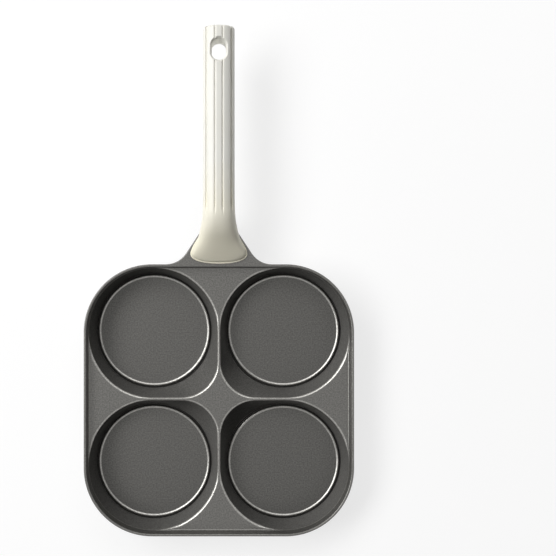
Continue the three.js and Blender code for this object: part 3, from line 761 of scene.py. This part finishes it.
def hole_grid(handle, rim_z, segments=80):
    """The hanging hole: an oval that widens at both ends by s log(1 + exp((c - depth) / s)), a soft chamfer.

    depth is measured from the bar's curved top and underside, so the chamfer is equally wide all round. The
    grid starts a little past both of them.
    """
    angle = 2 * np.pi * (np.arange(segments) + 0.5) / segments
    soft, past, inner = 0.3 * MM, 1.6 * MM, 3.2 * MM
    depth = np.linspace(-past, inner, 26)[:, None]
    grow = soft * np.log1p(np.exp((handle.hole_chamfer - depth) / soft))
    radius = handle.hole_width / 2 + grow
    straight = (handle.hole_length - handle.hole_width) / 2
    middle = handle.nose_y + handle.reach - handle.hole_back
    x = radius * np.cos(angle)
    y = middle + radius * np.sin(angle) + straight * np.sign(np.sin(angle))
    high = rim_z + handle.rise - bar_drop(handle, x) - depth
    low = rim_z + handle.rise - handle.bar_height + bar_drop(handle, x) + depth
    upper = np.stack((x, y, high), axis=-1)
    lower = np.stack((x, y, low), axis=-1)
    rings = np.concatenate((lower, upper[::-1]))
    ends = [np.broadcast_to(ring.mean(axis=0), ring.shape)[None] for ring in (rings[0], rings[-1])]
    return np.concatenate((ends[0], rings, ends[1]))


def build_handle(handle, pan, fixing):
    """The handle: a fluted sweep with a ledge round its foot, its hole and the pockets for the inserts."""
    swell = np.radians(np.linspace(0.0, 90.0, 28))
    nose = handle.ledge + (handle.bell_nose - handle.ledge) * (1 - np.cos(swell))
    bell = np.linspace(handle.bell_nose, handle.bell_length, 42)[1:]
    bar = np.linspace(handle.bell_length, handle.reach - handle.end_round, 34)[1:]
    close = np.radians(np.linspace(0.0, 90.0, 10))[1:]
    end = handle.reach - handle.end_round * (1 - np.sin(close))
    run = np.concatenate((nose, bell, bar, end))
    inset = np.concatenate((np.zeros(len(run) - len(end)), handle.end_round * (1 - np.cos(close))))
    turn = np.linspace(0.0, 2 * np.pi, 288, endpoint=False)
    grid = handle_section(handle, pan.rim_z, run, inset, turn)
    front = np.broadcast_to(grid[0].mean(axis=0), grid[0].shape)

    # the flat end closes on a level line across it, so that the flutes don't fold it
    spine = grid[-1].copy()
    spine[:, 2] = grid[-1, 0, 2]
    back = blend(grid[-1], spine, [0.1, 0.4, 0.7, 1.0])
    surface = Surface()
    surface.add(np.concatenate((front[None], grid, back)), True)
    piece = show(surface.mesh("handle"), "handle", FLUTED_SHARP)
    foot = Surface()
    foot.add(ledge_grid(handle, pan.rim_z), True)
    combine(piece, foot.mesh("foot"), "UNION", FLUTED_SHARP)
    tools = Surface()
    tools.add(hole_grid(handle, pan.rim_z), True)
    under_foot = pan.rim_z - 2 * MM
    for place in screw_places(fixing):
        profile = [
            (0.0, under_foot),
            (fixing.insert_radius, under_foot),
            (fixing.insert_radius, fixing.insert_top),
            (0.0, fixing.insert_top),
        ]
        tools.add(turned(profile, 40, 0.0, place), True)
    combine(piece, tools.mesh("hole"), "DIFFERENCE", FLUTED_SHARP)
    return piece


def build_plate(fixing, x, y, name):
    """A base plate: a turned disc with broken edges."""
    radius, thick, edge = fixing.plate_radius, fixing.plate_thickness, fixing.plate_edge
    rings = np.linspace(0.0, radius - edge, 8)
    profile = np.concatenate(
        (
            np.column_stack((rings, np.zeros(8))),
            quarter(radius - edge, edge, edge, -90, 0)[1:],
            quarter(radius - edge, thick - edge, edge, 0, 90),
            np.column_stack((rings[::-1], np.full(8, thick)))[1:],
        )
    )
    surface = Surface()
    surface.add(turned(profile, 160, x, y), True)
    return show(surface.mesh(name), name)


def build_screw(fixing, y, name):
    """A screw with a rounded head, a cross recess in it and a chamfered shank."""
    head, low, soft, edge = fixing.head_radius, fixing.head_z, fixing.head_round, fixing.head_edge
    top = low + fixing.head_height
    shank, end, chamfer = fixing.shank_radius, fixing.shank_top, fixing.shank_chamfer
    profile = np.concatenate(
        (
            [(0.0, low), (head - soft, low)],
            quarter(head - soft, low + soft, soft, -90, 0, 8)[1:],
            [(head, top - edge), (head - edge, top), (shank, top)],
            [(shank, end - chamfer), (shank - chamfer, end), (0.0, end)],
        )
    )
    surface = Surface()
    surface.add(turned(profile, 64, 0.0, y), True)
    piece = show(surface.mesh(name), name)
    span, wide = fixing.drive_span / 2, fixing.drive_width / 2
    plan = np.array(
        [(span, -wide), (span, wide), (wide, wide), (wide, span), (-wide, span), (-wide, wide)]
        + [(-span, wide), (-span, -wide), (-wide, -wide), (-wide, -span), (wide, -span), (wide, -wide)]
    )
    place = np.array([0.0, y])
    start, floor, taper = low - 1 * MM, low + fixing.drive_depth, 0.72
    rows = [lift(place + plan * k, z) for k, z in ((0, start), (1, start), (taper, floor), (0, floor))]
    recess = Surface()
    recess.add(np.stack(rows), True)
    combine(piece, recess.mesh("recess"), "DIFFERENCE")
    return piece


def nodes_of(material):
    """Node tree of a new material, its shader, the Object coordinates and a helper for noise on them."""
    material.use_nodes = True
    tree = material.node_tree
    place = tree.nodes.new("ShaderNodeTexCoord").outputs["Object"]

    def noise(scale, detail, roughness=0.5):
        node = tree.nodes.new("ShaderNodeTexNoise")
        node.inputs["Scale"].default_value = scale
        node.inputs["Detail"].default_value = detail
        node.inputs["Roughness"].default_value = roughness
        tree.links.new(place, node.inputs["Vector"])
        return node.outputs["Fac"]

    return tree, tree.nodes["Principled BSDF"], place, noise


def ramp(tree, source, stops):
    """A colour ramp with (position, linear colour) stops."""
    node = tree.nodes.new("ShaderNodeValToRGB")
    elements = node.color_ramp.elements
    while len(elements) < len(stops):
        elements.new(0.5)
    for element, (position, value) in zip(elements, stops):
        element.position = position
        element.color = (*value, 1.0)
    tree.links.new(source, node.inputs["Fac"])
    return node.outputs["Color"]


def mapped(tree, source, start, end, low=0.0, high=1.0):
    """Maps a source of start..end to low..high and holds it there."""
    node = tree.nodes.new("ShaderNodeMapRange")
    node.inputs["From Min"].default_value = start
    node.inputs["From Max"].default_value = end
    node.inputs["To Min"].default_value = low
    node.inputs["To Max"].default_value = high
    tree.links.new(source, node.inputs["Value"])
    return node.outputs["Result"]


def along(tree, place, axis, start, end):
    """0..1 from start to end on an axis of the Object coordinates."""
    split = tree.nodes.new("ShaderNodeSeparateXYZ")
    tree.links.new(place, split.inputs["Vector"])
    return mapped(tree, split.outputs[axis], start, end)


def spread(tree, source, low, high):
    """Maps the middle of a noise or of waves, 0.3..0.7, to low..high."""
    return mapped(tree, source, 0.3, 0.7, low, high)


def larger(tree, first, second):
    """The larger of two sources."""
    node = tree.nodes.new("ShaderNodeMath")
    node.operation = "MAXIMUM"
    tree.links.new(first, node.inputs[0])
    tree.links.new(second, node.inputs[1])
    return node.outputs["Value"]


def bump(tree, shader, height, strength, distance):
    """Puts a bump of a height on the shader."""
    node = tree.nodes.new("ShaderNodeBump")
    node.inputs["Strength"].default_value = strength
    node.inputs["Distance"].default_value = distance
    tree.links.new(height, node.inputs["Height"])
    tree.links.new(node.outputs["Normal"], shader.inputs["Normal"])


def coat_material(finish):
    """Non-stick coat: a dark speckle with metallic flakes, whose look changes up a cup as COAT_LOOKS says.

    Painted shade makes the grooves darkest and the floors darker and rougher than the deck, the walls are
    matt, and painted highlights make the beads and the lips bright. The last look is that of the deck, the rim
    and all of the outside.
    """
    material = bpy.data.materials.new("non_stick_coat")
    tree, shader, place, noise = nodes_of(material)
    speckle = ramp(tree, noise(1000.0, 3.0, 0.7), [(0.36, finish.coat_dark), (0.62, finish.coat)])
    outside = tree.nodes.new("ShaderNodeAttribute")
    outside.attribute_name = "outside"
    low, high = 3.0, 23.0
    level = larger(tree, along(tree, place, "Z", low * MM, high * MM), outside.outputs["Fac"])
    heights, *looks = zip(*COAT_LOOKS)
    # shade is the painted light of COAT_LOOKS: painted shade in the grooves and on the floors, painted
    # highlights on the beads and the lips; it multiplies the speckle below
    shade, *gloss = [
        ramp(tree, level, [((z - low) / (high - low), (value,) * 3) for z, value in zip(heights, look)])
        for look in looks
    ]
    shaded = tree.nodes.new("ShaderNodeMix")
    shaded.data_type = "RGBA"
    shaded.blend_type = "MULTIPLY"
    shaded.inputs["Factor"].default_value = 1.0
    tree.links.new(speckle, shaded.inputs["A"])
    tree.links.new(shade, shaded.inputs["B"])
    tree.links.new(shaded.outputs["Result"], shader.inputs["Base Color"])
    for source, name in zip(gloss, ("Roughness", "Metallic", "Specular IOR Level")):
        tree.links.new(source, shader.inputs[name])
    bump(tree, shader, noise(1100.0, 2.0), 0.04, 0.1 * MM)
    shader.inputs["IOR"].default_value = 1.5
    return material


def grip_material(finish):
    """Cream moulded plastic: a warmer, yellower tone painted at its base as painted shade, slightly cloudy in
    colour and gloss, with a fine grain.
    """
    material = bpy.data.materials.new("moulded_cream")
    tree, shader, place, noise = nodes_of(material)
    cloud = noise(35.0, 3.0)
    bell = ramp(tree, cloud, [(0.35, finish.bell_warm), (0.65, finish.bell)])
    bar = ramp(tree, cloud, [(0.35, finish.grip_warm), (0.65, finish.grip)])
    # painted shade: the base takes the warmer bell colours, which blend into the bar's cream from 30 to 85 mm
    # along Y
    tone = tree.nodes.new("ShaderNodeMix")
    tone.data_type = "RGBA"
    tree.links.new(along(tree, place, "Y", 30 * MM, 85 * MM), tone.inputs["Factor"])
    tree.links.new(bell, tone.inputs["A"])
    tree.links.new(bar, tone.inputs["B"])
    tree.links.new(tone.outputs["Result"], shader.inputs["Base Color"])
    tree.links.new(spread(tree, noise(160.0, 3.0), 0.36, 0.44), shader.inputs["Roughness"])
    bump(tree, shader, noise(1600.0, 2.0), 0.06, 0.1 * MM)
    shader.inputs["IOR"].default_value = 1.49
    return material


def plate_material(finish, x, y):
    """Turned steel: fine rings about the plate's axis in gloss and bump."""
    material = bpy.data.materials.new("turned_steel")
    tree, shader, place, noise = nodes_of(material)
    move = tree.nodes.new("ShaderNodeMapping")
    move.inputs["Location"].default_value = (-x, -y, 0.0)
    tree.links.new(place, move.inputs["Vector"])
    rings = tree.nodes.new("ShaderNodeTexWave")
    rings.wave_type = "RINGS"
    rings.rings_direction = "Z"
    rings.inputs["Scale"].default_value = 330.0
    rings.inputs["Distortion"].default_value = 1.5
    rings.inputs["Detail"].default_value = 2.0
    tree.links.new(move.outputs["Vector"], rings.inputs["Vector"])
    darker = [0.86 * c for c in finish.steel]
    tone = ramp(tree, noise(90.0, 4.0), [(0.3, darker), (0.7, finish.steel)])
    tree.links.new(tone, shader.inputs["Base Color"])
    tree.links.new(spread(tree, rings.outputs["Fac"], 0.26, 0.4), shader.inputs["Roughness"])
    bump(tree, shader, rings.outputs["Fac"], 0.25, 0.08 * MM)
    shader.inputs["Metallic"].default_value = 1.0
    return material


def metal_material(name, tint, low, high):
    """Plain bright metal with a slightly uneven gloss between the roughness low and high."""
    material = bpy.data.materials.new(name)
    tree, shader, _, noise = nodes_of(material)
    darker = [0.8 * c for c in tint]
    tree.links.new(ramp(tree, noise(700.0, 3.0), [(0.3, darker), (0.7, tint)]), shader.inputs["Base Color"])
    tree.links.new(spread(tree, noise(1500.0, 3.0), low, high), shader.inputs["Roughness"])
    bump(tree, shader, noise(2500.0, 2.0), 0.1, 0.05 * MM)
    shader.inputs["Metallic"].default_value = 1.0
    return material


def attach(piece, material, slot, *nodes):
    """Gives a piece its material and its body, and hides the CAD nodes it stands for; the slot is not used."""
    piece.data.materials.clear()
    piece.data.materials.append(material)
    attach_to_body(piece, "root")
    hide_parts(*nodes)


def dress(name, material):
    """Gives a CAD node that stays in view a better material."""
    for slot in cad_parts[name].material_slots:
        slot.material = material


class EGGPAN_OT_casting(Operator):
    """Build the coated casting with its cups, deck, rim and neck."""

    bl_idname = "eggpan.casting"
    bl_label = "Casting"

    def execute(self, context):
        settings = context.scene.egg_pan
        piece = build_casting(settings.pan, settings.fixing)
        attach(piece, coat_material(settings.finish), "coated_casting", "pan_casting")
        return {"FINISHED"}


class EGGPAN_OT_handle(Operator):
    """Build the fluted cream handle with its hanging hole."""

    bl_idname = "eggpan.handle"
    bl_label = "Handle"

    def execute(self, context):
        settings = context.scene.egg_pan
        piece = build_handle(settings.handle, settings.pan, settings.fixing)
        attach(piece, grip_material(settings.finish), "moulded_grip", "handle_grip")
        return {"FINISHED"}


class EGGPAN_OT_plates(Operator):
    """Build the four turned base plates."""

    bl_idname = "eggpan.plates"
    bl_label = "Base plates"

    def execute(self, context):
        settings = context.scene.egg_pan
        pan = settings.pan
        far_x, far_y = pan.cup
        for end, side_y in (("front", -1), ("handle", 1)):
            for side, side_x in (("left", -1), ("right", 1)):
                x, y = side_x * far_x, pan.middle_y + side_y * far_y
                piece = build_plate(settings.fixing, x, y, f"plate_{end}_{side}")
                node = f"base_plate_{end}_{side}"
                attach(piece, plate_material(settings.finish, x, y), "base_steel", node)
        return {"FINISHED"}


class EGGPAN_OT_fixings(Operator):
    """Build the screws and dress the washers and inserts of the frame."""

    bl_idname = "eggpan.fixings"
    bl_label = "Fixings"

    def execute(self, context):
        settings = context.scene.egg_pan
        steel = metal_material("bright_steel", settings.finish.steel, 0.24, 0.34)
        brass = metal_material("plain_brass", settings.finish.brass, 0.28, 0.4)
        for place, y in zip(("front", "rear"), screw_places(settings.fixing)):
            piece = build_screw(settings.fixing, y, f"screw_{place}")
            attach(piece, steel, "fastener_steel", f"handle_screw_{place}")
            dress(f"flat_washer_{place}", steel)
            dress(f"spring_washer_{place}", steel)
            dress(f"threaded_insert_{place}", brass)
        return {"FINISHED"}


def area_lamp(name, power, size, place, target):
    """A rectangular area lamp that looks at a target and is itself out of the camera's sight."""
    data = bpy.data.lights.new(name, "AREA")
    data.energy = power
    data.shape = "RECTANGLE"
    data.size, data.size_y = size
    lamp = bpy.data.objects.new(name, data)
    lamp.visible_camera = False
    bpy.context.scene.collection.objects.link(lamp)
    aim = np.array(target) - np.array(place)
    lamp.location = place
    tilt = math.atan2(math.hypot(aim[0], aim[1]), -aim[2])
    lamp.rotation_euler = (tilt, 0.0, math.atan2(-aim[0], aim[1]))


def background_rays(tree):
    """1 for rays of the camera, of reflections and through glass, which all see the white background."""
    path = tree.nodes.new("ShaderNodeLightPath")
    mirrored = larger(tree, path.outputs["Is Glossy Ray"], path.outputs["Is Transmission Ray"])
    return larger(tree, path.outputs["Is Camera Ray"], mirrored)


def floor_material():
    """Pale floor: it glows nearly white to the rays that see the background, and keeps a faint shadow."""
    material = bpy.data.materials.new("floor")
    material.use_nodes = True
    tree = material.node_tree
    shader = tree.nodes["Principled BSDF"]
    shader.inputs["Roughness"].default_value = 0.9
    shader.inputs["Specular IOR Level"].default_value = 0.1
    shader.inputs["Emission Color"].default_value = (1.0, 1.0, 1.0, 1.0)
    seen = background_rays(tree)
    plain, shaded, glow = (0.82,) * 3, (0.3,) * 3, 0.74
    tree.links.new(ramp(tree, seen, [(0.0, plain), (1.0, shaded)]), shader.inputs["Base Color"])
    tree.links.new(mapped(tree, seen, 0.0, 1.0, 0.0, glow), shader.inputs["Emission Strength"])
    return material


def studio_world(fill):
    """A world that is white to the rays that see the background, and lights evenly with the strength fill."""
    world = bpy.data.worlds.new("studio")
    world.use_nodes = True
    tree = world.node_tree
    background = tree.nodes["Background"]
    background.inputs["Color"].default_value = (1.0, 1.0, 1.0, 1.0)
    strength = mapped(tree, background_rays(tree), 0.0, 1.0, fill, 1.0)
    tree.links.new(strength, background.inputs["Strength"])
    return world


class EGGPAN_OT_stage(Operator):
    """Build the floor, the soft light and the camera."""

    bl_idname = "eggpan.stage"
    bl_label = "Stage"

    def execute(self, context):
        scene = context.scene
        stage = scene.egg_pan.stage
        extent = 3.0
        mesh = bpy.data.meshes.new("floor")
        corners = [(-extent, -extent, 0), (extent, -extent, 0), (extent, extent, 0), (-extent, extent, 0)]
        mesh.from_pydata(corners, [], [(0, 1, 2, 3)])
        mesh.materials.append(floor_material())
        floor = bpy.data.objects.new("floor", mesh)
        scene.collection.objects.link(floor)

        area_lamp("key", stage.key_power, *KEY_LIGHT)
        for light in OTHER_LIGHTS:
            area_lamp(*light)
        scene.world = studio_world(stage.fill)

        data = bpy.data.cameras.new("camera")
        data.sensor_width = 36.0
        data.lens = stage.lens
        data.shift_x = stage.shift_x
        data.shift_y = stage.shift_y
        camera = bpy.data.objects.new("camera", data)
        camera.location = (0.0, stage.camera_y, stage.camera_z)
        scene.collection.objects.link(camera)
        scene.camera = camera
        scene.view_settings.view_transform = "Standard"
        return {"FINISHED"}


OPERATORS = (
    EGGPAN_OT_casting,
    EGGPAN_OT_handle,
    EGGPAN_OT_plates,
    EGGPAN_OT_fixings,
    EGGPAN_OT_stage,
)


class EGGPAN_PT_panel(Panel):
    """Egg pan tools in the sidebar."""

    bl_idname = "EGGPAN_PT_panel"
    bl_label = "Egg pan"
    bl_space_type = "VIEW_3D"
    bl_region_type = "UI"
    bl_category = "Egg pan"

    def draw(self, context):
        layout = self.layout
        for operator in OPERATORS:
            layout.operator(operator.bl_idname)
        settings = context.scene.egg_pan
        for group in (settings.pan, settings.handle, settings.fixing, settings.finish, settings.stage):
            box = layout.box()
            for key in group.bl_rna.properties.keys():
                if key not in ("rna_type", "name"):
                    box.prop(group, key)


CLASSES = (
    PanSizes,
    HandleSizes,
    FixingSizes,
    Finishes,
    StageSettings,
    EggPan,
    *OPERATORS,
    EGGPAN_PT_panel,
)


def register():
    for item in CLASSES:
        bpy.utils.register_class(item)
    bpy.types.Scene.egg_pan = PointerProperty(type=EggPan)


def unregister():
    del bpy.types.Scene.egg_pan
    for item in reversed(CLASSES):
        bpy.utils.unregister_class(item)


def main():
    """Registers the classes and builds the pieces and the stage."""
    register()
    bpy.ops.eggpan.casting()
    bpy.ops.eggpan.handle()
    bpy.ops.eggpan.plates()
    bpy.ops.eggpan.fixings()
    bpy.ops.eggpan.stage()


if __name__ == "__main__":
    main()
